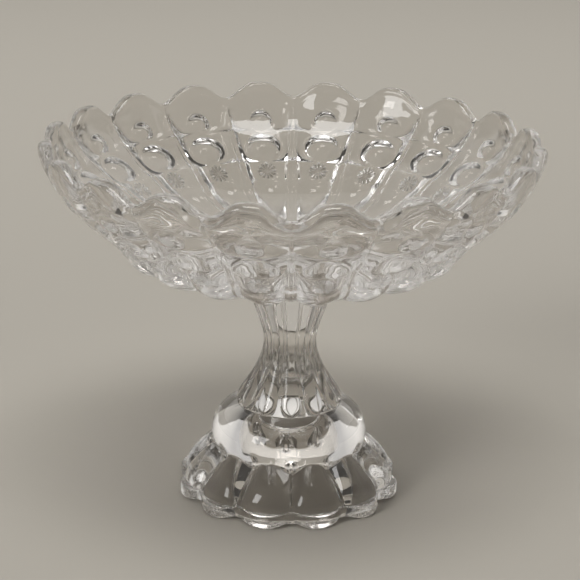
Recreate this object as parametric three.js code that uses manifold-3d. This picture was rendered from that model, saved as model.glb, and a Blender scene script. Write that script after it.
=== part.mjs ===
// Pressed-glass centrepiece bowl on a pedestal. Millimetres, +Z up.
// The origin is on the ground under the middle of the foot, and -Y is the front.
import * as THREE from "three";
import { mergeVertices } from "three/addons/utils/BufferGeometryUtils.js";
import Module from "manifold-3d";

// Whole
const HEIGHT = 191.2; // from the ground to the crests of the rim

// Bowl wall: rows of panels, from the lip down to the seat
const BOWL_DIAMETER = 255; // across the lobes at the lip
const BOWL_PANELS = 20;
const LIP_HEIGHT = 12.5; // upright part of each panel, above the dimples
const LIP_FLARE = 4.5;
const DIMPLE_ROW_HEIGHT = 12;
const DIMPLE_ROW_FLARE = 8;
const DIMPLE_ROW_BULGE = 1; // how far the row swells out past a straight one
const THUMBPRINT_ROW_HEIGHT = 15.8;
const THUMBPRINT_ROW_FLARE = 18.2;
const THUMBPRINT_ROW_BULGE = 2.8;
const STAR_ROW_HEIGHT = 9.7;
const STAR_ROW_FLARE = 7.3;
const ROW_FULLEST = 0.35; // where a row swells most, as a share of its height
const BELLY_HEIGHT = 15.5; // lobes that turn under the bowl
const BELLY_FULLNESS = 11.5; // how far up the belly its turn begins
const UNDERSIDE_RUN = 38; // nearly level stretch beside the seat
const SEAT_DIAMETER = 56;

// Bowl edge, thicknesses and relief
const RIM_TUCK = 5.5; // how far each lobe curls in from the lip to its top edge
const RIM_THICKNESS = 2.5; // top edge to the inside
const RIM_ROUNDING = 3.8; // height of the fire-polished edge
const RIM_SCALLOP = 8.2; // crest to valley
const WALL_THICKNESS = 3.5; // at the grooves between panels
const STAR_WALL_THICKNESS = 10; // behind the star row, where the inside flattens to a dish
const FLOOR_THICKNESS = 11;
const FLOOR_RUN = 52; // radius at which the slope of the inside would meet the floor
const BELLY_GROOVE = 5; // depth of the grooves between panels
const RIM_GROOVE = 4;
const BOWL_RIB_HEIGHT = 1; // rib standing in each groove
const DIMPLE_DIAMETER = 11.5;
const DIMPLE_DEPTH = 2.4;
const THUMBPRINT_DIAMETER = 18.8;
const THUMBPRINT_DEPTH = 4;
const STAR_DIAMETER = 11.6;
const STAR_DEPTH = 1.4;
const STAR_RAYS = 12;
const STAR_WAIST = 0.45; // reach of the notches between rays, as a share of a ray

// Joining wafer
const WAFER_DIAMETER = 51;
const WAFER_THICKNESS = 3.5;

// Pedestal foot
const FOOT_DIAMETER = 117.2; // across the lobes
const FOOT_PANELS = 12;
const FOOT_EDGE_ROUNDING = 3;
const FOOT_GROOVE = 4.8;
const FOOT_LIFT = 2; // how far the edge lifts off the ground between the lobes
const LEDGE_HEIGHT = 7.4; // lobed slab under the panels
const LEDGE_ROUNDING = 2;
const LEDGE_WIDTH = 3.4;
const FOOT_PANEL_HEIGHT = 20.7;
const FOOT_PANEL_GROOVE = 3.3;
const FOOT_PANEL_ARCH = 3.5; // rise of each panel's round top
const REST_RING_DIAMETER = 100; // flat ring that stands on the ground
const REST_RING_WIDTH = 5.5;
const CAVITY_HEIGHT = 41.5; // hollow under the foot
const CAVITY_TOP_DIAMETER = 32;
const CAVITY_CORNER = 3;

// Pedestal dome and stem
const DOME_DIAMETER = 81.4;
const DOME_ROUNDING = 16; // radius of the dome's bulge
const DOME_TUCK = 0.26; // radians that the bulge curls in below its widest line
const BELL_DIAMETER = 56.4; // across the tongues at the stem's foot
const BELL_HEIGHT = 34.7; // from the foot of the tongues up to the neck
const TONGUE_LENGTH = 8; // round end of each reed
const TONGUE_GROOVE = 2.8; // depth between the reeds at their round ends
const NECK_DIAMETER = 27.4;
const NECK_GROOVE = 1.5;
const STEM_TOP_DIAMETER = 48;
const STEM_TOP_GROOVE = 2.2;
const PEDESTAL_TURN = 0.035; // radians that the pedestal is turned against the bowl

// Handles of the pedestal's curves, as shares of the way out and up from one end to the other
const CAVITY_HANDLES = [[0.24, 0.16], [0.82, 0.48]];
const PANEL_HANDLES = [[-0.03, 0.34], [0.43, 0.63]];
const BELL_HANDLES = [[0.055, 0.307], [1, 0.519]];
const FLARE_HANDLES = [[0.05, 0.24], [0.6, 0.5]];
const BELL_BUNCHING = 1.6; // crowds the bell's facets towards the tongues

// Lobes between two grooves: where the groove starts, as a share of the panel's width, and how full they are
const SOFT_LOBE = { edge: 0.44, fullness: 2 };
const ROW_LOBE = { edge: 0.44, fullness: 3.2 };
const PANEL_LOBE = { edge: 0.46, fullness: 4 };

const wasm = await Module();
wasm.setup();

const v2 = (r, z) => new THREE.Vector2(r, z);
const line = (from, to) => new THREE.LineCurve(from, to);
const bend = (from, corner, to) => new THREE.QuadraticBezierCurve(from, corner, to);
const sweep = (from, lead, tail, to) => new THREE.CubicBezierCurve(from, lead, tail, to);
// A point that lies the given shares of the way from one point to another
const between = (from, to, outShare, upShare) =>
  v2(THREE.MathUtils.lerp(from.x, to.x, outShare), THREE.MathUtils.lerp(from.y, to.y, upShare));
const shaped = (from, to, [lead, tail]) => sweep(from, between(from, to, ...lead), between(from, to, ...tail), to);

// Columns of each panel, as shares of its width from the middle: the groove, then the lobe
const GROOVE_SHARE = -0.5;
const BOWL_SHARES = [GROOVE_SHARE, -0.44, -0.264, -0.088, 0.088, 0.264, 0.44];
const PEDESTAL_SHARES = [GROOVE_SHARE, -0.4, -0.2, 0, 0.2, 0.4];
const WAFER_SHARES = [GROOVE_SHARE, -0.167, 0.167];

// How far into the groove a column lies: 0 on the crest of the lobe, 1 in the groove
const lobeHollow = (share, { edge, fullness }) => Math.min(1, Math.abs(share / edge) ** fullness);
const scallopHollow = (share) => Math.abs(Math.sin(Math.PI * share)) ** 3;

// The stem's reeds stand over the grooves of the foot, half a panel round, and are narrow and low at their round ends
function reedHollow(share, reach) {
  const across = 1 - 2 * Math.abs(share);
  return across < reach ? 1 - Math.sqrt(reach - across ** 2 / reach) : 1;
}

// The value at t along evenly spaced values
function through(values, t) {
  const place = t * (values.length - 1);
  const index = Math.min(Math.floor(place), values.length - 2);
  return THREE.MathUtils.lerp(values[index], values[index + 1], place - index);
}

// One stretch of a half section, with each kind of relief running through the depths given.
// Relief sinks in square to the surface, or level towards the axis where the stretch says so.
function stretch(curve, facets, relief = {}) {
  const stations = [];
  for (let step = 0; step <= facets; step += 1) {
    const t = (step / facets) ** (relief.bunching ?? 1);
    const point = curve.getPoint(t);
    const along = curve.getTangent(t);
    const depth = (name) => through(relief[name] ?? [0, 0], t);
    stations.push({
      point,
      normal: relief.level ? v2(1, 0) : v2(along.y, -along.x),
      groove: depth("groove"),
      lobe: relief.lobe ?? SOFT_LOBE,
      rib: depth("rib"),
      drop: depth("drop"),
      reed: depth("reed"),
      reach: relief.reach ? relief.reach(point.y) : 1,
    });
  }
  return stations;
}

// Stretches end to end, each starting where the one before ends
function section(...stretches) {
  return stretches.flatMap((stations, index) => (index ? stations.slice(1) : stations));
}

// A revolved section with its relief pressed in, panel by panel
function pressed(stations, panels, shares, turn = 0) {
  const columns = panels * shares.length;
  const geometry = new THREE.LatheGeometry(stations.map((station) => station.point), columns);
  const position = geometry.attributes.position;
  for (let column = 0; column <= columns; column += 1) {
    const share = shares[column % shares.length];
    const panel = Math.floor((column % columns) / shares.length);
    const angle = ((panel + share - GROOVE_SHARE) * 2 * Math.PI) / panels + turn;
    stations.forEach((station, row) => {
      const rib = share === GROOVE_SHARE ? station.rib : 0;
      const reed = station.reed * reedHollow(share, station.reach);
      const sunk = station.groove * lobeHollow(share, station.lobe) + reed - rib;
      const radius = station.point.x - station.normal.x * sunk;
      const height = station.point.y - station.normal.y * sunk - station.drop * scallopHollow(share);
      const vertex = column * stations.length + row;
      position.setXYZ(vertex, radius * Math.sin(angle), -radius * Math.cos(angle), height);
    });
  }
  return geometry;
}

// A closed geometry as a solid, without the triangles that vanish on the axis
function solid(geometry) {
  geometry.deleteAttribute("normal");
  geometry.deleteAttribute("uv");
  const merged = mergeVertices(geometry);
  const corners = merged.index.array;
  const triangles = [];
  for (let i = 0; i < corners.length; i += 3) {
    const [a, b, c] = corners.slice(i, i + 3);
    if (a !== b && b !== c && c !== a) triangles.push(a, b, c);
  }
  return new wasm.Manifold(
    new wasm.Mesh({
      numProp: 3,
      vertProperties: new Float32Array(merged.attributes.position.array),
      triVerts: new Uint32Array(triangles),
    }),
  );
}

function glassMesh(name, body, colour) {
  const shape = body.getMesh();
  const geometry = new THREE.BufferGeometry();
  geometry.setAttribute("position", new THREE.BufferAttribute(shape.vertProperties, 3));
  geometry.setIndex(new THREE.BufferAttribute(shape.triVerts, 1));
  geometry.computeVertexNormals();
  const glass = new THREE.MeshStandardMaterial({
    color: colour,
    roughness: 0.04,
    metalness: 0,
    transparent: true,
    opacity: 0.35,
  });
  const mesh = new THREE.Mesh(geometry, glass);
  mesh.name = name;
  return mesh;
}

// Rings of the bowl's crest line, worked out from the lip inwards and the seat upwards
const seat = v2(SEAT_DIAMETER / 2, 0);
const lip = v2(
  BOWL_DIAMETER / 2,
  BELLY_HEIGHT + STAR_ROW_HEIGHT + THUMBPRINT_ROW_HEIGHT + DIMPLE_ROW_HEIGHT + LIP_HEIGHT,
);
const lipRoot = v2(lip.x - LIP_FLARE, lip.y - LIP_HEIGHT);
const shoulder = v2(lipRoot.x - DIMPLE_ROW_FLARE, lipRoot.y - DIMPLE_ROW_HEIGHT);
const crease = v2(shoulder.x - THUMBPRINT_ROW_FLARE, shoulder.y - THUMBPRINT_ROW_HEIGHT);
const bellyTop = v2(crease.x - STAR_ROW_FLARE, crease.y - STAR_ROW_HEIGHT);
const dimpleRow = { low: shoulder, high: lipRoot, bulge: DIMPLE_ROW_BULGE };
const thumbprintRow = { low: crease, high: shoulder, bulge: THUMBPRINT_ROW_BULGE };
const starRow = { low: bellyTop, high: crease, bulge: 0 };

// The middle of a row's straight line, and the direction square to it
function middleOf({ low, high }) {
  const along = high.clone().sub(low).normalize();
  return { point: between(low, high, 0.5, 0.5), normal: v2(along.y, -along.x) };
}

// A row's own line, which swells out
function swollen(row) {
  const fullest = between(row.low, row.high, ROW_FULLEST, ROW_FULLEST);
  return bend(row.low, fullest.addScaledVector(middleOf(row).normal, 2 * row.bulge), row.high);
}

// The depth of the bowl's grooves, which run out towards the rim
const grooveAt = (height) => THREE.MathUtils.lerp(BELLY_GROOVE, RIM_GROOVE, height / lip.y);

// A ring of the smooth inside, behind the middle of a row
function inside(row, thickness) {
  const { point, normal } = middleOf(row);
  return point.addScaledVector(normal, -grooveAt(point.y) - thickness);
}

function bowlSection() {
  const belly = sweep(
    seat,
    v2(seat.x + UNDERSIDE_RUN, 0),
    v2(bellyTop.x - STAR_ROW_FLARE / 2, bellyTop.y - BELLY_FULLNESS),
    bellyTop,
  );
  // The lip leaves the dimple row along its slope and ends upright
  const lipCorner = v2(lip.x, lipRoot.y + (LIP_FLARE * DIMPLE_ROW_HEIGHT) / DIMPLE_ROW_FLARE);
  const rimTop = v2(lip.x - RIM_TUCK, lip.y + RIM_ROUNDING);
  const rimInside = v2(rimTop.x - RIM_THICKNESS, lip.y);
  const innerDimple = inside(dimpleRow, WALL_THICKNESS);
  const innerThumbprint = inside(thumbprintRow, WALL_THICKNESS);
  const innerStar = inside(starRow, STAR_WALL_THICKNESS);
  const wall = new THREE.SplineCurve([rimInside, innerDimple, innerThumbprint, innerStar]);
  const floor = bend(innerStar, v2(FLOOR_RUN, FLOOR_THICKNESS), v2(0, FLOOR_THICKNESS));
  const grooves = (from, to) => [grooveAt(from.y), grooveAt(to.y)];
  const rib = [BOWL_RIB_HEIGHT, BOWL_RIB_HEIGHT];
  const lipDrop = RIM_SCALLOP * (1 - LIP_HEIGHT / (LIP_HEIGHT + DIMPLE_ROW_HEIGHT));
  const full = [RIM_SCALLOP, RIM_SCALLOP];
  return section(
    stretch(line(v2(0, 0), seat), 1),
    stretch(belly, 4, { groove: [0, grooveAt(bellyTop.y)], rib: [0, BOWL_RIB_HEIGHT] }),
    stretch(swollen(starRow), 1, { groove: grooves(bellyTop, crease), lobe: ROW_LOBE, rib }),
    stretch(swollen(thumbprintRow), 2, { groove: grooves(crease, shoulder), lobe: ROW_LOBE, rib }),
    stretch(swollen(dimpleRow), 2, { groove: grooves(shoulder, lipRoot), lobe: ROW_LOBE, rib, drop: [0, lipDrop] }),
    stretch(bend(lipRoot, lipCorner, lip), 2, {
      groove: grooves(lipRoot, lip),
      rib: [BOWL_RIB_HEIGHT, 0],
      drop: [lipDrop, RIM_SCALLOP],
    }),
    stretch(bend(lip, v2(lip.x, rimTop.y), rimTop), 2, { groove: [RIM_GROOVE, 0], drop: full, level: true }),
    stretch(bend(rimTop, v2(rimInside.x, rimTop.y), rimInside), 1, { drop: full }),
    stretch(wall, 3, { drop: [RIM_SCALLOP, lipDrop, 0, 0] }),
    stretch(floor, 2),
  );
}

// A cutter that presses part of a ball into a row, as wide and as deep at the row's straight line as given
const BALL_RINGS = [0, 0.65, 1.35]; // shares of the angle from the deepest point to that line
const BALL_SIDES = 10;
function ballCutter(diameter, depth) {
  const half = diameter / 2;
  const ball = (half ** 2 + depth ** 2) / (2 * depth);
  const opening = 2 * Math.atan(depth / half);
  const hollow = BALL_RINGS.map((share) =>
    v2(ball * Math.sin(opening * share), ball - depth - ball * Math.cos(opening * share)),
  );
  const edge = hollow.at(-1);
  const profile = [...hollow, v2(edge.x, edge.y + half), v2(0, edge.y + half)];
  const geometry = new THREE.LatheGeometry(profile, BALL_SIDES);
  geometry.rotateX(Math.PI / 2);
  return solid(geometry);
}

// A shallow pyramid with a star outline, point down, that follows the lobe's own curve
const STAR_REACH = 1.2; // how far the cutter goes on past the star's outline
function starCutter(diameter, depth) {
  const half = diameter / 2;
  const { point } = middleOf(starRow);
  const groove = grooveAt(point.y);
  const panelWidth = (2 * Math.PI * point.x) / BOWL_PANELS;
  const top = depth + groove;
  const edge = v2(half * STAR_REACH, depth * (STAR_REACH - 1));
  const profile = [v2(0, -depth), edge, v2(edge.x, top), v2(0, top)];
  const geometry = new THREE.LatheGeometry(profile, 2 * STAR_RAYS);
  geometry.rotateX(Math.PI / 2);
  const position = geometry.attributes.position;
  for (let i = 0; i < position.count; i += 1) {
    const reach = Math.floor(i / profile.length) % 2 ? STAR_WAIST : 1;
    const x = position.getX(i) * reach;
    const z = position.getZ(i) - groove * lobeHollow(x / panelWidth, ROW_LOBE);
    position.setXYZ(i, x, position.getY(i) * reach, z);
  }
  return solid(geometry);
}

// Stands a cutter on the middle of a row, in one panel
function onPanel(cutter, row, panel) {
  const { point, normal } = middleOf(row);
  const angle = ((panel + 0.5) * 2 * Math.PI) / BOWL_PANELS;
  const outward = new THREE.Vector3(normal.x * Math.sin(angle), -normal.x * Math.cos(angle), normal.y);
  const across = new THREE.Vector3(Math.cos(angle), Math.sin(angle), 0);
  const upward = new THREE.Vector3().crossVectors(outward, across);
  const place = new THREE.Matrix4().makeBasis(across, upward, outward);
  place.setPosition(point.x * Math.sin(angle), -point.x * Math.cos(angle), point.y);
  return cutter.transform(place.elements);
}

function bowl() {
  const cuts = [
    [dimpleRow, ballCutter(DIMPLE_DIAMETER, DIMPLE_DEPTH)],
    [thumbprintRow, ballCutter(THUMBPRINT_DIAMETER, THUMBPRINT_DEPTH)],
    [starRow, starCutter(STAR_DIAMETER, STAR_DEPTH)],
  ];
  let body = solid(pressed(bowlSection(), BOWL_PANELS, BOWL_SHARES));
  for (const [row, cutter] of cuts) {
    for (let panel = 0; panel < BOWL_PANELS; panel += 1) {
      body = body.subtract(onPanel(cutter, row, panel));
    }
  }
  return glassMesh("bowl", body, 0xdedad2);
}

function joiningWafer() {
  const edge = WAFER_DIAMETER / 2;
  const round = WAFER_THICKNESS / 2;
  const profile = section(
    stretch(line(v2(0, 0), v2(edge - round, 0)), 1),
    stretch(bend(v2(edge - round, 0), v2(edge, 0), v2(edge, round)), 2),
    stretch(bend(v2(edge, round), v2(edge, WAFER_THICKNESS), v2(edge - round, WAFER_THICKNESS)), 2),
    stretch(line(v2(edge - round, WAFER_THICKNESS), v2(0, WAFER_THICKNESS)), 1),
  );
  return glassMesh("joining_wafer", solid(pressed(profile, FOOT_PANELS, WAFER_SHARES)), 0xdcd8d0);
}

// Heights and rings of the pedestal, from the ground up
const panelTop = LEDGE_HEIGHT + FOOT_PANEL_HEIGHT;
const domeMiddle = v2(DOME_DIAMETER / 2 - DOME_ROUNDING, panelTop + DOME_ROUNDING * Math.sin(DOME_TUCK));
const bellAngle = Math.acos((BELL_DIAMETER / 2 - TONGUE_GROOVE - domeMiddle.x) / DOME_ROUNDING);
const bellFoot = v2(BELL_DIAMETER / 2, domeMiddle.y + DOME_ROUNDING * Math.sin(bellAngle));
const neck = v2(NECK_DIAMETER / 2, bellFoot.y + BELL_HEIGHT);
const stemTop = v2(STEM_TOP_DIAMETER / 2, HEIGHT - RIM_ROUNDING - lip.y - WAFER_THICKNESS);

// How wide a reed is at a given height, as a share of its full width: its end is half round
const tongueReach = (height) => Math.sqrt(1 - Math.max(0, 1 - (height - bellFoot.y) / TONGUE_LENGTH) ** 2);

function pedestalSection() {
  const edge = FOOT_DIAMETER / 2;
  const restOutside = v2(REST_RING_DIAMETER / 2, 0);
  const mouth = v2(restOutside.x - REST_RING_WIDTH, 0);
  const lobeFoot = v2(edge - FOOT_EDGE_ROUNDING / 2, 0);
  const ceiling = v2(CAVITY_TOP_DIAMETER / 2 - CAVITY_CORNER, CAVITY_HEIGHT);
  const cavityTop = v2(CAVITY_TOP_DIAMETER / 2, CAVITY_HEIGHT - CAVITY_CORNER);
  const slabFoot = v2(edge, FOOT_EDGE_ROUNDING);
  const slabTop = v2(edge, LEDGE_HEIGHT - LEDGE_ROUNDING);
  const ledgeEdge = v2(edge - LEDGE_ROUNDING, LEDGE_HEIGHT);
  const panelFoot = v2(edge - LEDGE_WIDTH, LEDGE_HEIGHT);
  const bulge = (from, to) =>
    new THREE.EllipseCurve(domeMiddle.x, domeMiddle.y, DOME_ROUNDING, DOME_ROUNDING, from, to);
  const skirt = bulge(-DOME_TUCK, 0);
  const panel = shaped(panelFoot, skirt.getPoint(0), PANEL_HANDLES);
  const groove = [FOOT_GROOVE, FOOT_GROOVE];
  return section(
    stretch(line(v2(0, CAVITY_HEIGHT), ceiling), 1),
    stretch(bend(ceiling, v2(cavityTop.x, ceiling.y), cavityTop), 2),
    stretch(shaped(cavityTop, mouth, CAVITY_HANDLES), 3),
    stretch(line(mouth, restOutside), 1),
    stretch(line(restOutside, lobeFoot), 1, { groove: [0, FOOT_GROOVE], drop: [0, -FOOT_LIFT], level: true }),
    stretch(bend(lobeFoot, v2(edge, 0), slabFoot), 2, {
      groove,
      drop: [-FOOT_LIFT, -FOOT_LIFT / 2],
      level: true,
    }),
    stretch(line(slabFoot, slabTop), 1, { groove, drop: [-FOOT_LIFT / 2, 0] }),
    stretch(bend(slabTop, v2(edge, LEDGE_HEIGHT), ledgeEdge), 1, { groove, level: true }),
    stretch(line(ledgeEdge, panelFoot), 1, {
      groove: [FOOT_GROOVE, FOOT_PANEL_GROOVE],
      lobe: PANEL_LOBE,
      level: true,
    }),
    stretch(panel, 4, {
      groove: [FOOT_PANEL_GROOVE, FOOT_PANEL_GROOVE],
      lobe: PANEL_LOBE,
      drop: [0, FOOT_PANEL_ARCH],
    }),
    stretch(skirt, 1, { groove: [FOOT_PANEL_GROOVE, 0], lobe: PANEL_LOBE, drop: [FOOT_PANEL_ARCH, 0] }),
    stretch(bulge(0, bellAngle), 4),
    stretch(shaped(bellFoot, neck, BELL_HANDLES), 7, {
      reed: [TONGUE_GROOVE, NECK_GROOVE],
      reach: tongueReach,
      bunching: BELL_BUNCHING,
      level: true,
    }),
    stretch(shaped(neck, stemTop, FLARE_HANDLES), 4, { reed: [NECK_GROOVE, STEM_TOP_GROOVE], level: true }),
    stretch(line(stemTop, v2(0, stemTop.y)), 1),
  );
}

function pedestal() {
  const body = solid(pressed(pedestalSection(), FOOT_PANELS, PEDESTAL_SHARES, PEDESTAL_TURN));
  return glassMesh("pedestal", body, 0xd8d4cc);
}

// The wafer lies flat on the stem's top, and the bowl's seat lies flat on the wafer
const centrepiece = new THREE.Group();
const wafer = joiningWafer();
wafer.position.z = stemTop.y;
const dish = bowl();
dish.position.z = stemTop.y + WAFER_THICKNESS;
centrepiece.add(pedestal(), wafer, dish);

export default centrepiece;
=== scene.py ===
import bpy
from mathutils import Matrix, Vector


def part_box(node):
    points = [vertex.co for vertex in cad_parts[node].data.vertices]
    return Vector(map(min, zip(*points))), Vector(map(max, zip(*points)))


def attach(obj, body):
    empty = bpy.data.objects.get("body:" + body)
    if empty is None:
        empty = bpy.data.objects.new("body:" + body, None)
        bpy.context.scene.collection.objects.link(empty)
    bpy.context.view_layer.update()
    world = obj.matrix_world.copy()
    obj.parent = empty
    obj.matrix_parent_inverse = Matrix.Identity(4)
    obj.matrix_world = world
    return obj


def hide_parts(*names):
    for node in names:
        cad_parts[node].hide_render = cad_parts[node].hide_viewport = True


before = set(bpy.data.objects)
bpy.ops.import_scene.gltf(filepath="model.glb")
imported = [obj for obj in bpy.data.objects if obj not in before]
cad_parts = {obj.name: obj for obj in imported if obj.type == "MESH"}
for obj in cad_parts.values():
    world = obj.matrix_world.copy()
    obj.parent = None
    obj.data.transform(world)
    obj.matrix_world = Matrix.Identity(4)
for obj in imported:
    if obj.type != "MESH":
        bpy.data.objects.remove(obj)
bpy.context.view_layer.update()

import math

import bpy
from mathutils import Matrix, Vector


# Pedestal
# The foot and stem are one pressing of clear glass, left hollow below by the plunger. Twelve lobes and
# arched panels run round the foot, a plain dome stands on them, and twelve reeds with round tongue ends
# rise from the dome to the wafer. Everything is fire polished, so edges are soft.
MM = 0.001  # sizes are in millimetres, and widths across a panel are shares of the panel
FOOT_PANELS = 12
FOOT_RADIUS = 58.6  # to the crests of the lobes
FOOT_EDGE_HEIGHT = 5.4
FOOT_EDGE_ROUNDING = 3.0
FOOT_GROOVE = 4.8
FOOT_LIFT = 2.0  # how far the edge lifts off the ground between the lobes
LOBE_EDGE, LOBE_FULLNESS = 0.44, 2  # from where a groove is at full depth, and how full its lobes are
LEDGE_HEIGHT = 7.4
LEDGE_ROUNDING = 1.6
PANEL_FOOT_RADIUS = 55.2
PANEL_TOP_HEIGHT = 28.1
PANEL_START = (0.5, 7.0)  # the panel's curve handle at the ledge, out and up from there
PANEL_END = (8.6, 7.6)  # its curve handle at the dome, out and down from there
PANEL_GROOVE = 3.2
PANEL_TOP_GROOVE = 3.4
PANEL_EDGE, PANEL_FULLNESS = 0.46, 4.0
PANEL_ARCH = 3.5  # rise of each panel's round top
FOOT_RIB_HEIGHT = 1.2
FOOT_RIB_WIDTH = 0.045
# Beside each rib of the foot, this share of the panel is darkened with painted shade.
RIB_SHADE_WIDTH = 0.04
REST_RING_RADIUS = 50.0
REST_RING_WIDTH = 5.5
CAVITY_HEIGHT = 41.5
CAVITY_TOP_RADIUS = 16.0
CAVITY_CORNER = 3.0
CAVITY_HANDLES = ((0.24, 0.16), (0.82, 0.48))  # handles are shares of the way out and up
DOME_RADIUS = 40.7
DOME_ROUNDING = 16.0
DOME_TUCK = 0.26  # radians that the bulge curls in below its widest line
BELL_RADIUS = 28.2
BELL_HANDLES = ((0.36, 0.3), (1, 0.64))
TONGUE_FOOT_HEIGHT = 47.9
TONGUE_LENGTH = 8.0
TONGUE_LEAN = 0.6
TONGUE_GROOVE = 2.8
TONGUE_WIDTH = 0.82
TONGUE_BLUNTNESS = 0.4  # the lower, the steeper a tongue rises at its end
NECK_HEIGHT = 82.9
NECK_RADIUS = 13.7
NECK_GROOVE = 1.5
NECK_WIDTH = 0.97
STEM_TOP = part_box("pedestal")[1][2] / MM
STEM_TOP_RADIUS = 24.0
STEM_TOP_GROOVE = 2.2
FLARE_HANDLES = ((0.05, 0.24), (0.6, 0.5))
PEDESTAL_TURN = 0.035  # radians that the pedestal is turned against the bowl
SCALLOP_SHARPNESS = 3
NEXT_TO_NONE = 1e-6
FOOT_SIDE_SHARES = [0.5, 0.485, 0.47, 0.455, 0.44, 0.42]  # columns crowd round the ribs


def between(start, end, out_share, up_share):
    """A point that lies the given shares of the way from one point of the section to another."""
    return (start[0] + (end[0] - start[0]) * out_share, start[1] + (end[1] - start[1]) * up_share)


def bow(start, end, handles):
    """The points of a curve from start to end with these handles."""
    return [start, *(between(start, end, *handle) for handle in handles), end]


def along_curve(points, t):
    """The point at t on the Bezier curve of these points, and the unit normal on its right."""
    level = list(points)
    while len(level) > 2:
        level = [between(a, b, t, t) for a, b in zip(level, level[1:])]
    run = (level[1][0] - level[0][0], level[1][1] - level[0][1])
    size = math.hypot(*run) or 1.0
    return between(level[0], level[1], t, t), (run[1] / size, -run[0] / size)


def through(values, t):
    """The value at t along evenly spaced values."""
    place = t * (len(values) - 1)
    index = min(int(place), len(values) - 2)
    return values[index] + (values[index + 1] - values[index]) * (place - index)


def stretch(points, rows, level=False, **relief):
    """Stations along one curve of a half section, each with its point, its normal and its relief.
    A relief is one value, or a list of values that it runs through."""
    stations = []
    for row in range(rows + 1):
        point, normal = along_curve(points, row / rows)
        station = {"point": point, "normal": (1.0, 0.0) if level else normal}
        for name, values in relief.items():
            station[name] = through(values, row / rows) if isinstance(values, list) else values
        stations.append(station)
    return stations


def section(*stretches):
    """Stretches end to end, each starting where the one before ends."""
    return [station for index, run in enumerate(stretches) for station in run[1 if index else 0:]]


def across_panel(side, columns, reach):
    """Shares across a panel: those of its sides, and even columns out to reach between them."""
    middle = [reach * (2 * column / (columns - 1) - 1) for column in range(columns)]
    return [-share for share in side] + middle + side[:0:-1]


def press(stations, panels, shares, sunk, fall, turn=0.0):
    """Rings of points, one for each station, with the relief of sunk and fall pressed into each panel."""
    rings = []
    for station in stations:
        (radius, height), (out, up) = station["point"], station["normal"]
        if radius < NEXT_TO_NONE:
            rings.append([(0.0, 0.0, height * MM)])
            continue
        relief = [(sunk(station, share), fall(station, share)) for share in shares]
        ring = []
        for panel in range(panels):
            for share, (depth, drop) in zip(shares, relief):
                angle = (panel + share + 0.5) * 2 * math.pi / panels + turn
                reach = (radius - out * depth) * MM
                rise = (height - up * depth - drop) * MM
                ring.append((reach * math.sin(angle), -reach * math.cos(angle), rise))
        rings.append(ring)
    return rings


def skin(name, rings):
    """A closed, smooth mesh through rings of points, which may go from many points to a quarter as many."""
    points = [point for ring in rings for point in ring]
    faces = []
    start = 0
    for ring, after in zip(rings, rings[1:]):
        here, there = len(ring), len(after)
        first, second = start, start + here
        if here == 1:
            faces += [(first, second + (i + 1) % there, second + i) for i in range(there)]
        elif there == 1:
            faces += [(first + i, first + (i + 1) % here, second) for i in range(here)]
        else:
            step = here // there
            for i in range(there):
                lower = [first + (i * step + k) % here for k in range(step + 1)]
                faces.append(tuple(lower) + (second + (i + 1) % there, second + i))
        start = second
    mesh = bpy.data.meshes.new(name)
    mesh.from_pydata(points, [], faces)
    mesh.validate()
    mesh.shade_smooth()
    piece = bpy.data.objects.new(name, mesh)
    bpy.context.scene.collection.objects.link(piece)
    return piece


def lay_groove_shade(piece, stations, panels, shares, shade_of):
    """Keeps with each point of a pressed piece how much painted shade darkens it there, from 0 to 1."""
    groove_shade = []
    for station in stations:
        if station["point"][0] > NEXT_TO_NONE:
            groove_shade += [shade_of(station, share) for share in shares] * panels
        else:
            groove_shade.append(0.0)
    groove_shade += [0.0] * (len(piece.data.vertices) - len(groove_shade))
    piece.data.attributes.new("groove_shade", "FLOAT", "POINT").data.foreach_set("value", groove_shade)


def soft(value, rounding=0.02):
    """The value where it is above 0, and else nearly 0, with a rounded turn between the two."""
    return (value + math.sqrt(value * value + rounding)) / 2 - math.sqrt(rounding) / 4


def lobe(share, edge, fullness):
    """How far into the groove between two lobes a share of the panel lies, from 0 to 1."""
    return min(1.0, (abs(share) / edge) ** fullness)


def scallop(share):
    """How far the edge of a lobe has dropped, from 0 on its crest to 1 between two lobes."""
    return abs(math.sin(math.pi * share)) ** SCALLOP_SHARPNESS


def from_side(share):
    """How far a share of the panel lies from the line between it and the next panel."""
    return 0.5 - abs(share)


def ridge(share, half_width):
    """A rounded rib that stands on the line between two panels."""
    return soft(1 - (from_side(share) / half_width) ** 2)


def reed_hollow(share, width, rise):
    """How far below the crest of a reed a share lies, rise mm above the round end of the reed.
    The reeds stand over the ribs of the foot, and width is their share of the room."""
    end = 1 - min(1.0, rise / TONGUE_LENGTH)
    reach = math.sqrt(max(0.0, 1 - end ** 2))
    if reach < NEXT_TO_NONE:
        return 1.0
    across = 2 * from_side(share) / width / reach
    return 1 - reach ** TONGUE_BLUNTNESS * math.sqrt(max(0.0, 1 - across ** 2))


def pedestal_depth(station, share):
    """How deep the relief of the pedestal lies below its half section."""
    edge, fullness = station.get("edge", LOBE_EDGE), station.get("fullness", LOBE_FULLNESS)
    depth = station.get("groove", 0.0) * lobe(share, edge, fullness)
    if "reed" in station:
        rise = station["point"][1] - TONGUE_FOOT_HEIGHT
        depth += station["reed"] * reed_hollow(share, station["width"], rise)
    return depth - station.get("rib", 0.0) * ridge(share, FOOT_RIB_WIDTH)


def edge_drop(station, share):
    """How far the relief drops straight down between two lobes."""
    return station.get("drop", 0.0) * scallop(share)


def rib_groove_shade(station, share):
    """How much painted shade darkens the grooves along the ribs of the foot, from 0 to 1."""
    near = max(0.0, 1 - from_side(share) / RIB_SHADE_WIDTH)
    return near * station.get("rib", 0.0) / FOOT_RIB_HEIGHT


dome_middle = (DOME_RADIUS - DOME_ROUNDING, PANEL_TOP_HEIGHT + DOME_ROUNDING * math.sin(DOME_TUCK))


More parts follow.
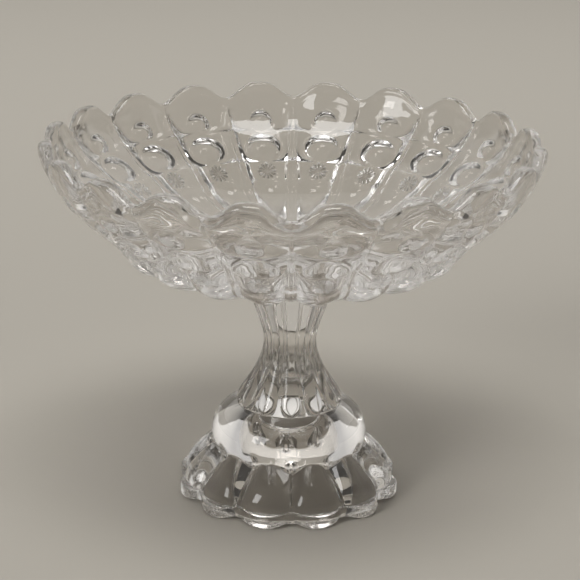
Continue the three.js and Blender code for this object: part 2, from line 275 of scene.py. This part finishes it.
def dome_arc(start, end, rows):
    """Stations on the dome's round bulge between two angles from its widest line."""
    stations = []
    for row in range(rows + 1):
        angle = start + (end - start) * row / rows
        out, up = math.cos(angle), math.sin(angle)
        point = (dome_middle[0] + DOME_ROUNDING * out, dome_middle[1] + DOME_ROUNDING * up)
        stations.append({"point": point, "normal": (out, up)})
    return stations


bell_angle = math.acos((BELL_RADIUS - TONGUE_GROOVE - dome_middle[0]) / DOME_ROUNDING)
bell_foot = (BELL_RADIUS, TONGUE_FOOT_HEIGHT)
tongue_top = (BELL_RADIUS - TONGUE_LEAN, TONGUE_FOOT_HEIGHT + TONGUE_LENGTH)
neck = (NECK_RADIUS, NECK_HEIGHT)
stem_top = (STEM_TOP_RADIUS, STEM_TOP)
ceiling = (CAVITY_TOP_RADIUS - CAVITY_CORNER, CAVITY_HEIGHT)
cavity_top = (CAVITY_TOP_RADIUS, CAVITY_HEIGHT - CAVITY_CORNER)
rest_outside = (REST_RING_RADIUS, 0.0)
mouth = (REST_RING_RADIUS - REST_RING_WIDTH, 0.0)
lobe_foot = (FOOT_RADIUS - FOOT_EDGE_ROUNDING / 2, 0.0)
slab_foot = (FOOT_RADIUS, FOOT_EDGE_ROUNDING)
slab_top = (FOOT_RADIUS, FOOT_EDGE_HEIGHT)
ledge_edge = (FOOT_RADIUS - LEDGE_ROUNDING, LEDGE_HEIGHT)
panel_foot = (PANEL_FOOT_RADIUS, LEDGE_HEIGHT)
skirt = dome_arc(-DOME_TUCK, 0.0, rows=6)
for row, station in enumerate(skirt):
    fade = (1 - row / (len(skirt) - 1)) ** 2
    station.update(groove=PANEL_TOP_GROOVE * fade, drop=PANEL_ARCH * fade, edge=PANEL_EDGE,
                   fullness=PANEL_FULLNESS)
panel_crest = skirt[0]["point"]
pedestal_section = section(
    stretch([(0.0, CAVITY_HEIGHT), ceiling], rows=4),
    stretch([ceiling, (cavity_top[0], ceiling[1]), cavity_top], rows=6),
    stretch(bow(cavity_top, mouth, CAVITY_HANDLES), rows=24),
    stretch([mouth, rest_outside], rows=3),
    stretch([rest_outside, lobe_foot], rows=4, level=True, groove=[0, FOOT_GROOVE], drop=[0, -FOOT_LIFT]),
    stretch([lobe_foot, (FOOT_RADIUS, 0.0), slab_foot], rows=7, level=True, groove=FOOT_GROOVE,
            drop=[-FOOT_LIFT, -FOOT_LIFT / 2]),
    stretch([slab_foot, slab_top], rows=3, level=True, groove=FOOT_GROOVE, drop=[-FOOT_LIFT / 2, 0]),
    stretch([slab_top, (FOOT_RADIUS, LEDGE_HEIGHT), ledge_edge], rows=6, level=True, groove=FOOT_GROOVE),
    stretch([ledge_edge, panel_foot], rows=4, level=True, groove=[FOOT_GROOVE, PANEL_GROOVE],
            edge=[LOBE_EDGE, PANEL_EDGE], fullness=[LOBE_FULLNESS, PANEL_FULLNESS]),
    stretch([panel_foot, (panel_foot[0] + PANEL_START[0], panel_foot[1] + PANEL_START[1]),
             (panel_crest[0] + PANEL_END[0], panel_crest[1] - PANEL_END[1]), panel_crest], rows=28,
            groove=[PANEL_GROOVE, PANEL_TOP_GROOVE], drop=[0, PANEL_ARCH], edge=PANEL_EDGE,
            fullness=PANEL_FULLNESS, rib=[0, FOOT_RIB_HEIGHT, FOOT_RIB_HEIGHT, 0]),
    skirt,
    dome_arc(0.0, bell_angle, rows=18),
    stretch([bell_foot, tongue_top, *bow(bell_foot, neck, BELL_HANDLES)[1:]], rows=52, level=True,
            reed=[TONGUE_GROOVE, NECK_GROOVE], width=[TONGUE_WIDTH, TONGUE_WIDTH, NECK_WIDTH]),
    stretch(bow(neck, stem_top, FLARE_HANDLES), rows=24, level=True, reed=[NECK_GROOVE, STEM_TOP_GROOVE],
            width=NECK_WIDTH),
    stretch([stem_top, (0.0, STEM_TOP)], rows=6, level=True, reed=[STEM_TOP_GROOVE, 0], width=NECK_WIDTH),
)
foot_shares = across_panel(FOOT_SIDE_SHARES, columns=29, reach=0.4)
pedestal_rings = press(pedestal_section, FOOT_PANELS, foot_shares, pedestal_depth, edge_drop, PEDESTAL_TURN)
pedestal = skin("pressed_pedestal", pedestal_rings)
# Painted shade darkens the glass in the grooves along the foot's ribs.
lay_groove_shade(pedestal, pedestal_section, FOOT_PANELS, foot_shares, rib_groove_shade)


class Socket:
    """A node's output, with arithmetic that adds Math nodes."""

    def __init__(self, nodes, link):
        self.nodes = nodes
        self.link = link

    def math(self, operation, other):
        return self.nodes.node("ShaderNodeMath", {"operation": operation}, {0: self, 1: other})

    def __add__(self, other):
        return self.math("ADD", other)

    def __mul__(self, other):
        return self.math("MULTIPLY", other)

    __radd__ = __add__
    __rmul__ = __mul__


class Nodes:
    """The nodes of a material or of the surroundings."""

    def __init__(self, owner):
        self.owner = owner
        owner.use_nodes = True
        self.tree = owner.node_tree
        self.tree.nodes.clear()

    def node(self, kind, settings=None, sockets=None, output=0):
        """Any node, with its settings made first and then the values or links of its sockets."""
        made = self.tree.nodes.new(kind)
        for name, value in (settings or {}).items():
            if name == "stops":
                for stop, (place, colour) in zip(made.color_ramp.elements, value):
                    stop.position, stop.color = place, colour
            else:
                setattr(made, name, value)
        for name, value in (sockets or {}).items():
            if isinstance(value, Socket):
                self.tree.links.new(value.link, made.inputs[name])
            else:
                made.inputs[name].default_value = value
        return Socket(self, made.outputs[output]) if made.outputs else made

    def mix(self, share, first, second):
        """Two colours mixed. The colours of a Mix node are its sockets 6 and 7 and its output 2."""
        return self.node("ShaderNodeMix", {"data_type": "RGBA"}, {0: share, 6: first, 7: second}, 2)

    def finish(self, kind, shader):
        self.node(kind, sockets={"Surface": shader})
        return self.owner


GLASS_CLEAR = (0.935, 0.918, 0.897, 1.0)
GLASS_SMOKY = (0.855, 0.833, 0.807, 1.0)
# A dark tint painted into the finest grooves as shade; those grooves are also a little rougher.
GLASS_PAINTED_SHADE = (0.22, 0.20, 0.175, 1.0)
POLISHED, SCUFFED, SHADED_GROOVES = 0.004, 0.5, 0.1  # what each brings to the roughness
WEAR_HEIGHT, WEAR_FADE = 0.0002, 0.0006  # metres: full wear up to the first, gone over the second
NO_WEAR = -1.0  # a height that no piece reaches down to


def pressed_glass(name, wear_height):
    """Clear pressed glass: a faint smoky cast that drifts, fire-polish ripples, painted shade in the
    finest hollows, and wear where it rests."""
    nodes = Nodes(bpy.data.materials.new(name))
    place = nodes.node("ShaderNodeTexCoord", output="Object")
    drift = nodes.node("ShaderNodeTexNoise", sockets={"Vector": place, "Scale": 18.0, "Detail": 2.0})
    # The mask of painted shade: 0 on clear glass, 1 where the grooves are darkened and roughened.
    groove_shade = nodes.node("ShaderNodeAttribute", {"attribute_name": "groove_shade"}, output="Fac")
    ripple = nodes.node("ShaderNodeTexNoise", sockets={"Vector": place, "Scale": 70.0, "Detail": 1.0})
    bump = nodes.node("ShaderNodeBump", sockets={"Strength": 0.12, "Distance": 0.0012, "Height": ripple})
    height = nodes.node("ShaderNodeSeparateXYZ", sockets={"Vector": place}, output="Z")
    worn = nodes.node("ShaderNodeMapRange", {"interpolation_type": "SMOOTHSTEP"}, {
        "Value": height, "From Min": wear_height, "From Max": wear_height + WEAR_FADE, "To Min": 1.0,
        "To Max": 0.0})
    scuffs = nodes.node("ShaderNodeTexNoise", sockets={"Vector": place, "Scale": 900.0, "Detail": 3.0})
    # The base colour mixes in the dark tint where the mask lays painted shade.
    glass = nodes.node("ShaderNodeBsdfPrincipled", sockets={
        "Base Color": nodes.mix(groove_shade, nodes.mix(drift, GLASS_CLEAR, GLASS_SMOKY), GLASS_PAINTED_SHADE),
        "Roughness": POLISHED + worn * scuffs * SCUFFED + groove_shade * SHADED_GROOVES,
        "IOR": 1.52,
        "Transmission Weight": 1.0,
        "Normal": bump,
    })
    return nodes.finish("ShaderNodeOutputMaterial", glass)


pedestal.data.materials.append(pressed_glass("pedestal_glass", WEAR_HEIGHT))
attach(pedestal, "root")
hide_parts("pedestal")


# Joining wafer
# A small gather of hot glass, pressed flat between the stem and the bowl, that sticks the two together.
# Its edge is squeezed out round, and its faces are melted a little way into both.
WAFER_RADIUS = 25.5
WAFER_MELT = 0.2
WAFER_PANELS, WAFER_COLUMNS = 12, 8
wafer_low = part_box("joining_wafer")[0][2] / MM - WAFER_MELT
wafer_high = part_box("joining_wafer")[1][2] / MM + WAFER_MELT
wafer_middle = (wafer_low + wafer_high) / 2
wafer_flat = WAFER_RADIUS - (wafer_high - wafer_low) / 2
wafer_section = section(
    stretch([(0.0, wafer_low), (wafer_flat, wafer_low)], rows=4),
    stretch([(wafer_flat, wafer_low), (WAFER_RADIUS, wafer_low), (WAFER_RADIUS, wafer_middle)], rows=6),
    stretch([(WAFER_RADIUS, wafer_middle), (WAFER_RADIUS, wafer_high), (wafer_flat, wafer_high)], rows=6),
    stretch([(wafer_flat, wafer_high), (0.0, wafer_high)], rows=4),
)
wafer_shares = [column / WAFER_COLUMNS - 0.5 for column in range(WAFER_COLUMNS)]
wafer = skin("melted_wafer", press(wafer_section, WAFER_PANELS, wafer_shares, pedestal_depth, edge_drop))
wafer.data.materials.append(pressed_glass("wafer_glass", NO_WEAR))
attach(wafer, "root")
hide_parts("joining_wafer")


# Bowl
# One pressing of clear glass with twenty lobed panels and a rib between each two. Every panel carries a
# small dimple, a large thumbprint and a rayed star, one below the other, and the lobes turn under to a
# flat seat. The plunger leaves the inside smooth, and the scalloped rim is fire polished round.
BOWL_PANELS = 20
BOWL_RADIUS = 127.38
LIP_HEIGHT, LIP_FLARE = 12.5, 4.5
DIMPLE_ROW_HEIGHT, DIMPLE_ROW_FLARE = 12.0, 8.0
THUMBPRINT_ROW_HEIGHT, THUMBPRINT_ROW_FLARE = 15.8, 18.2
STAR_ROW_HEIGHT, STAR_ROW_FLARE = 9.7, 7.3
ROW_BULGES = (0.5, 2.8, 1.0)  # of the star, thumbprint and dimple rows
ROW_STEPS = (30, 20, 12)  # of the same rows
ROW_FULLNESS = 3.2
ROW_ROUNDING, ROUNDING_STEPS = 1.2, 4
BULGE_LEAN = 0.7  # below 1, a row is fullest below its middle
BELLY_HEIGHT, BELLY_FULLNESS = 15.5, 11.5
UNDERSIDE_RUN = 38.0
SEAT_RADIUS = 28.0
RIM_TUCK = 5.5
RIM_THICKNESS = 2.5
RIM_SCALLOP = 8.2
WALL_THICKNESS = 3.5
STAR_WALL_THICKNESS = 10.0
FLOOR_THICKNESS = 11.0
FLOOR_RUN = 52.0
INSIDE_STEPS = 18
BELLY_GROOVE = 5.0
RIM_GROOVE = 4.0
BOWL_RIB_HEIGHT = 1.0
BOWL_RIB_WIDTH = 2.3
RIB_FADE = 3  # how fast the ribs come up below the lip
RIB_LIMIT = 0.499  # a groove that is deepest past here has no room for a rib
DIMPLE_RADIUS, DIMPLE_DEPTH = 5.75, 2.4
THUMBPRINT_RADIUS, THUMBPRINT_DEPTH = 9.4, 4.0
STAR_RADIUS, STAR_DEPTH, STAR_RAYS = 6.0, 1.1, 12
STAR_RISE, STAR_FADE = 3.5, 5.0  # how fast the rays deepen at the middle and run out at the edge
BOWL_SIDE_SHARES = [0.5, 0.48, 0.46, 0.44, 0.405, 0.365, 0.32, 0.275, 0.235]
INSIDE_COARSENESS = 4  # columns outside to one inside
seat_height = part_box("bowl")[0][2] / MM
rows_height = STAR_ROW_HEIGHT + THUMBPRINT_ROW_HEIGHT + DIMPLE_ROW_HEIGHT
lip = (BOWL_RADIUS, seat_height + BELLY_HEIGHT + rows_height + LIP_HEIGHT)
lip_root = (lip[0] - LIP_FLARE, lip[1] - LIP_HEIGHT)
shoulder = (lip_root[0] - DIMPLE_ROW_FLARE, lip_root[1] - DIMPLE_ROW_HEIGHT)
crease = (shoulder[0] - THUMBPRINT_ROW_FLARE, shoulder[1] - THUMBPRINT_ROW_HEIGHT)
belly_top = (crease[0] - STAR_ROW_FLARE, crease[1] - STAR_ROW_HEIGHT)
seat = (SEAT_RADIUS, seat_height)
lip_drop = RIM_SCALLOP * (1 - LIP_HEIGHT / (LIP_HEIGHT + DIMPLE_ROW_HEIGHT))
row_corners = [belly_top, crease, shoulder, lip_root]
row_lengths = [math.dist(low, high) for low, high in zip(row_corners, row_corners[1:])]
row_starts = [0.0, row_lengths[0], row_lengths[0] + row_lengths[1]]
star_middle, thumbprint_middle, dimple_middle = (
    start + length / 2 for start, length in zip(row_starts, row_lengths))


def bowl_groove(height):
    """The depth of the grooves between panels, which grow shallower towards the rim."""
    return BELLY_GROOVE + (RIM_GROOVE - BELLY_GROOVE) * (height - seat_height) / (lip[1] - seat_height)


def on_rows(run):
    """The point a given run up from the foot of the star row, on rows that meet in sharp corners."""
    row = 0
    while row < 2 and run > row_lengths[row]:
        run -= row_lengths[row]
        row += 1
    return between(row_corners[row], row_corners[row + 1], run / row_lengths[row], run / row_lengths[row])


def row_bulge(run):
    """How far the row swells out at a given run up the rows, fullest a little below its middle."""
    for length, bulge in zip(row_lengths, ROW_BULGES):
        if run <= length:
            return bulge * math.sin(math.pi * max(0.0, run / length) ** BULGE_LEAN)
        run -= length
    return 0.0


def panel_row(run):
    """A station on the rows, with the corners between them rounded."""
    steps = range(-ROUNDING_STEPS, ROUNDING_STEPS + 1)
    spots = [on_rows(run + ROW_ROUNDING * step / ROUNDING_STEPS) for step in steps]
    point = tuple(sum(spot[axis] for spot in spots) / len(spots) for axis in (0, 1))
    along = (spots[-1][0] - spots[0][0], spots[-1][1] - spots[0][1])
    size = math.hypot(*along)
    return {
        "point": point,
        "normal": (along[1] / size, -along[0] / size),
        "run": run,
        "groove": bowl_groove(point[1]),
        "fullness": ROW_FULLNESS,
        "bulge": row_bulge(run),
        "rib": BOWL_RIB_HEIGHT,
        "drop": lip_drop * max(0.0, (point[1] - shoulder[1]) / DIMPLE_ROW_HEIGHT),
    }


def ball(across, up, radius, depth):
    """The depth of a hollow that is part of a ball, below the row, with the given radius and depth there."""
    size = (radius ** 2 + depth ** 2) / (2 * depth)
    spread = min(across ** 2 + up ** 2, size ** 2)
    return math.sqrt(size ** 2 - spread) - (size - depth)


def star(across, up):
    """The depth of the star's hollow rays, which start beside its middle and run out at its edge."""
    reach = math.hypot(across, up) / STAR_RADIUS
    if reach >= 1:
        return 0.0
    ray = 0.5 + 0.5 * math.cos(math.atan2(up, across) * STAR_RAYS)
    return STAR_DEPTH * min(1.0, STAR_RISE * reach) * min(1.0, STAR_FADE * (1 - reach)) * ray


def panel_width(station):
    return 2 * math.pi * station["point"][0] / BOWL_PANELS


def star_ray_shade(station, share):
    """How much painted shade darkens the rays of the star, from 0 to 1."""
    if "run" not in station:
        return 0.0
    return star(share * panel_width(station), station["run"] - star_middle) / STAR_DEPTH


def bowl_depth(station, share):
    """How deep the relief of the bowl lies below its half section."""
    below_lip = max(0.0, (lip_root[1] - station["point"][1]) / (lip_root[1] - belly_top[1]))
    edge = 0.5 - BOWL_RIB_WIDTH * min(1.0, below_lip) / panel_width(station)
    groove = station.get("groove", 0.0) * lobe(share, edge, station.get("fullness", LOBE_FULLNESS))
    depth = groove - station.get("bulge", 0.0)
    if edge < RIB_LIMIT:
        depth -= station.get("rib", 0.0) * min(1.0, RIB_FADE * below_lip) * ridge(share, 0.5 - edge)
    if "run" in station:
        across, run = share * panel_width(station), station["run"]
        depth += soft(ball(across, run - dimple_middle, DIMPLE_RADIUS, DIMPLE_DEPTH) - depth)
        depth += soft(ball(across, run - thumbprint_middle, THUMBPRINT_RADIUS, THUMBPRINT_DEPTH) - depth)
        depth += star(across, run - star_middle)
    return depth


def inside(low, high, thickness):
    """A point of the smooth inside, behind the middle of a row."""
    point, normal = along_curve([low, high], 0.5)
    depth = bowl_groove(point[1]) + thickness
    return (point[0] - normal[0] * depth, point[1] - normal[1] * depth)


def smooth_run(points, t):
    """The point at t along a smooth curve through these points."""
    last = len(points) - 1
    index = min(int(t * last), last - 1)
    f = t * last - index
    near = [points[max(index - 1, 0)], points[index], points[index + 1], points[min(index + 2, last)]]
    spot = []
    for before, start, end, after in zip(*near):
        leave, arrive = (end - before) / 2, (after - start) / 2
        cubed = 2 * start - 2 * end + leave + arrive
        squared = -3 * start + 3 * end - 2 * leave - arrive
        spot.append((cubed * f + squared) * f * f + leave * f + start)
    return tuple(spot)


lip_corner = (lip[0], lip_root[1] + LIP_FLARE * DIMPLE_ROW_HEIGHT / DIMPLE_ROW_FLARE)
rim_top = (lip[0] - RIM_TUCK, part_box("bowl")[1][2] / MM)
rim_inside = (rim_top[0] - RIM_THICKNESS, lip[1])
inner_star = inside(belly_top, crease, STAR_WALL_THICKNESS)
inner_wall = [rim_inside, inside(shoulder, lip_root, WALL_THICKNESS),
              inside(crease, shoulder, WALL_THICKNESS), inner_star]
floor_height = seat_height + FLOOR_THICKNESS
panel_rows = [[panel_row(start + length * step / steps) for step in range(steps + 1)]
              for start, length, steps in zip(row_starts, row_lengths, ROW_STEPS)]
bowl_outside = section(
    stretch([(0.0, seat_height), seat], rows=3),
    stretch([seat, (seat[0] + UNDERSIDE_RUN, seat_height),
             (belly_top[0] - STAR_ROW_FLARE / 2, belly_top[1] - BELLY_FULLNESS), belly_top], rows=12,
            groove=[0, bowl_groove(belly_top[1])], rib=[0, BOWL_RIB_HEIGHT]),
    *panel_rows,
    stretch([lip_root, lip_corner, lip], rows=7, groove=[bowl_groove(lip_root[1]), RIM_GROOVE],
            rib=[BOWL_RIB_HEIGHT, 0], drop=[lip_drop, RIM_SCALLOP]),
    stretch([lip, (lip[0], rim_top[1]), rim_top], rows=6, level=True, groove=[RIM_GROOVE, 0],
            drop=RIM_SCALLOP),
    stretch([rim_top, (rim_inside[0], rim_top[1]), rim_inside], rows=4, drop=RIM_SCALLOP),
)
bowl_inside = []
for step in range(1, INSIDE_STEPS + 1):
    drop = through([RIM_SCALLOP, lip_drop, 0, 0], step / INSIDE_STEPS)
    point = smooth_run(inner_wall, step / INSIDE_STEPS)
    bowl_inside.append({"point": point, "normal": (1.0, 0.0), "drop": drop})
bowl_inside += stretch([inner_star, (FLOOR_RUN, floor_height), (0.0, floor_height)], rows=12)[1:]
bowl_shares = across_panel(BOWL_SIDE_SHARES, columns=31, reach=0.2)
inside_shares = bowl_shares[::INSIDE_COARSENESS]
outside_rings = press(bowl_outside, BOWL_PANELS, bowl_shares, bowl_depth, edge_drop)
inside_rings = press(bowl_inside, BOWL_PANELS, inside_shares, bowl_depth, edge_drop)
bowl = skin("pressed_bowl", outside_rings + inside_rings)
# Painted shade darkens the glass in the rays of every star.
lay_groove_shade(bowl, bowl_outside, BOWL_PANELS, bowl_shares, star_ray_shade)
bowl.data.materials.append(pressed_glass("bowl_glass", NO_WEAR))
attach(bowl, "root")
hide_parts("bowl")


# Floor
# A plain pale floor, wide enough to fill the background of the main view. It lies a hair below the foot,
# since glass that stands on a floor touches it in a few spots only.
FLOOR_COLOUR = (0.54, 0.506, 0.445, 1.0)
FLOOR_HALF = 6.0
FLOOR_TOP = -0.0002
floor_mesh = bpy.data.meshes.new("floor")
floor_corners = [(x * FLOOR_HALF, y * FLOOR_HALF, FLOOR_TOP) for x, y in ((-1, -1), (1, -1), (1, 1), (-1, 1))]
floor_mesh.from_pydata(floor_corners, [], [(0, 1, 2, 3)])
floor = bpy.data.objects.new("floor", floor_mesh)
bpy.context.scene.collection.objects.link(floor)
board = Nodes(bpy.data.materials.new("pale_board"))
matt = board.node("ShaderNodeBsdfPrincipled", sockets={
    "Base Color": FLOOR_COLOUR, "Roughness": 0.9, "Specular IOR Level": 0.1})
floor_mesh.materials.append(board.finish("ShaderNodeOutputMaterial", matt))


# Light and camera
# Surroundings that glow behind the glass and stay dim at the sides, so that its edges draw dark, with
# soft boxes over the far floor, overhead and in front to the left, and the photograph's viewing angle.
DIM, GLOW = (0.06, 0.057, 0.053, 1.0), (0.5, 0.48, 0.44, 1.0)
SURROUNDINGS = ((0.7, DIM), (0.97, GLOW))  # by how nearly a direction is straight ahead
CAMERA_DISTANCE, CAMERA_PITCH, CAMERA_ROLL = 0.97392, math.radians(18.892), math.radians(0.8)
CAMERA_AIM = (-0.000362, 0.10891)  # across and up, on the upright plane through the object's middle
CAMERA_SENSOR, CAMERA_LENS = 36.0, 117.15


def soft_box(name, place, aim, width, depth, power):
    lamp = bpy.data.lights.new(name, "AREA")
    lamp.shape = "RECTANGLE"
    lamp.size, lamp.size_y, lamp.energy = width, depth, power
    box = bpy.data.objects.new(name, lamp)
    box.location = place
    box.rotation_euler = (Vector(aim) - Vector(place)).to_track_quat("-Z", "Y").to_euler()
    box.visible_camera = False
    bpy.context.scene.collection.objects.link(box)


soft_box("far_box", (0, 1.3, 0.8), aim=(0, 1.3, 0), width=3.4, depth=1.6, power=9.0)
soft_box("top_box", (0, -0.7, 3.0), aim=(0, 0, 0.1), width=1.8, depth=1.3, power=46.0)
soft_box("front_box", (-2.56, -2.38, 2.04), aim=(0, 0, 0.1), width=1.4, depth=1.8, power=48.0)

around = Nodes(bpy.data.worlds.new("surroundings"))
direction = around.node("ShaderNodeTexCoord", output="Generated")
straight_ahead = around.node("ShaderNodeSeparateXYZ", sockets={"Vector": direction}, output="Y")
tone = around.node("ShaderNodeValToRGB", {"stops": SURROUNDINGS}, {"Fac": straight_ahead})
backdrop = around.node("ShaderNodeBackground", sockets={"Color": tone})
bpy.context.scene.world = around.finish("ShaderNodeOutputWorld", backdrop)
bpy.context.scene.view_settings.view_transform = "Standard"
# Light runs round inside thick glass many times before it leaves
paths = bpy.context.scene.cycles
paths.max_bounces, paths.glossy_bounces, paths.transmission_bounces = 40, 28, 40

level, steep = math.cos(CAMERA_PITCH), math.sin(CAMERA_PITCH)
lean, upright = math.sin(CAMERA_ROLL), math.cos(CAMERA_ROLL)
right, up, ahead = Vector((1, 0, 0)), Vector((0, steep, level)), Vector((0, level, -steep))
stand = (CAMERA_AIM[0], -CAMERA_DISTANCE * level, CAMERA_AIM[1] + CAMERA_DISTANCE * steep)
turned = Matrix((right * upright + up * lean, up * upright - right * lean, -ahead)).transposed().to_4x4()
camera = bpy.data.objects.new("camera", bpy.data.cameras.new("camera"))
camera.matrix_world = Matrix.Translation(stand) @ turned
camera.data.sensor_width, camera.data.lens = CAMERA_SENSOR, CAMERA_LENS
bpy.context.scene.collection.objects.link(camera)
bpy.context.scene.camera = camera
